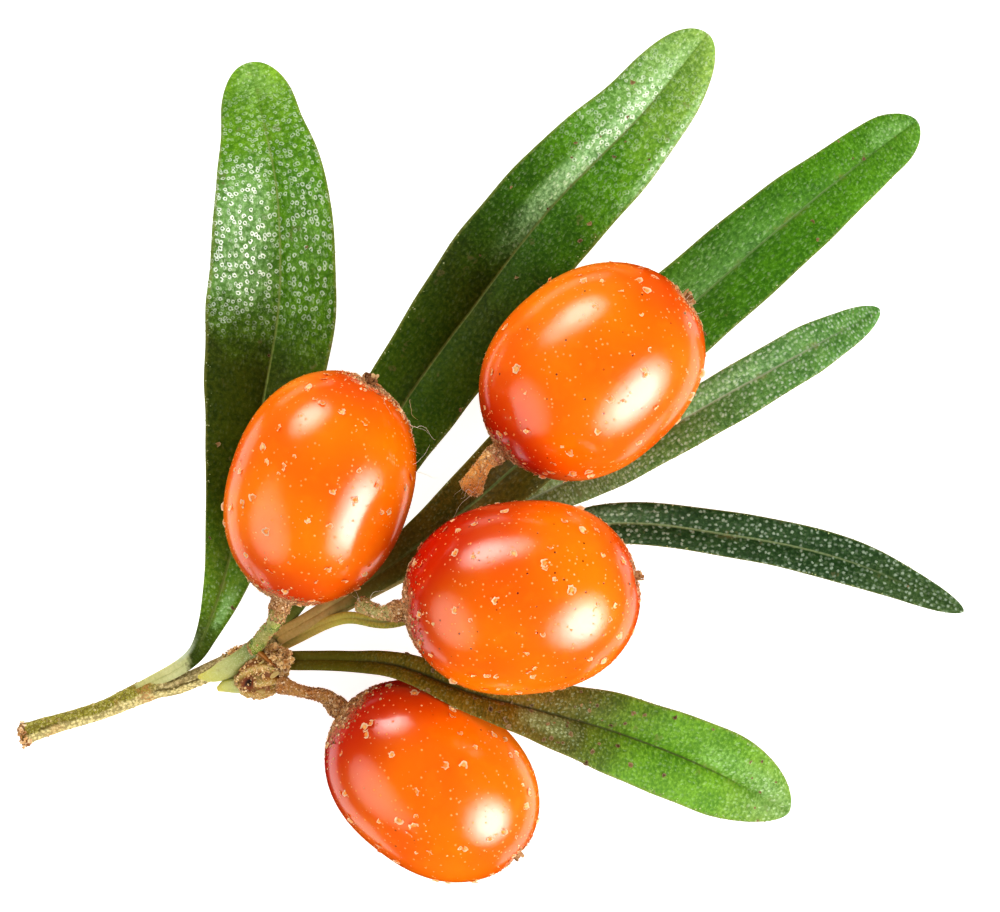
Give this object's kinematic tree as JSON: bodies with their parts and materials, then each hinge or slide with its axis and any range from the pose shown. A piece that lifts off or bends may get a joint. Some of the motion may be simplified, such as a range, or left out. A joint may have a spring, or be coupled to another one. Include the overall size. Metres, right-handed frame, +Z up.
{
  "type": "sea buckthorn sprig",
  "caption": "Cut sprig of sea buckthorn lying flat: narrow strap-shaped leaves, glossy oval berries on short stalks and a scaly bud on a short woody twig.",
  "frame": {"origin": "on the surface the sprig lies on, under the middle of its outline", "axes": "+X from the cut end of the twig towards the leaf tips, +Z up from the surface it lies on"},
  "size_m": [0.0458, 0.0411, 0.0133],
  "materials": {
    "bark": "matte, scurfy",
    "green_stalk": "matte, scurfy",
    "rusty_stalk": "matte, scurfy",
    "bud_scale": "matte, scaly",
    "berry_skin": "glossy skin with fine pale scales",
    "dry_calyx": "matte, withered",
    "leaf": "satin, scaly underneath",
    "dark_leaf": "satin, dotted with pale scales"
  },
  "bodies": {
    "root": {"twig": "bark", "fruit_spur": "green_stalk", "spur_bud": "bud_scale", "berry_left": "berry_skin", "berry_upper": "berry_skin", "berry_middle": "berry_skin", "berry_front": "berry_skin", "stalk_left": "green_stalk", "stalk_upper": "rusty_stalk", "stalk_middle": "green_stalk", "stalk_front": "rusty_stalk", "calyx_left": "dry_calyx", "calyx_upper": "dry_calyx", "calyx_middle": "dry_calyx", "calyx_front": "dry_calyx", "leaf_far_left": "leaf", "leaf_long": "leaf", "leaf_upper_right": "leaf", "leaf_narrow_right": "dark_leaf", "leaf_dark_right": "dark_leaf", "leaf_lower_right": "leaf"}
  },
  "joints": []
}
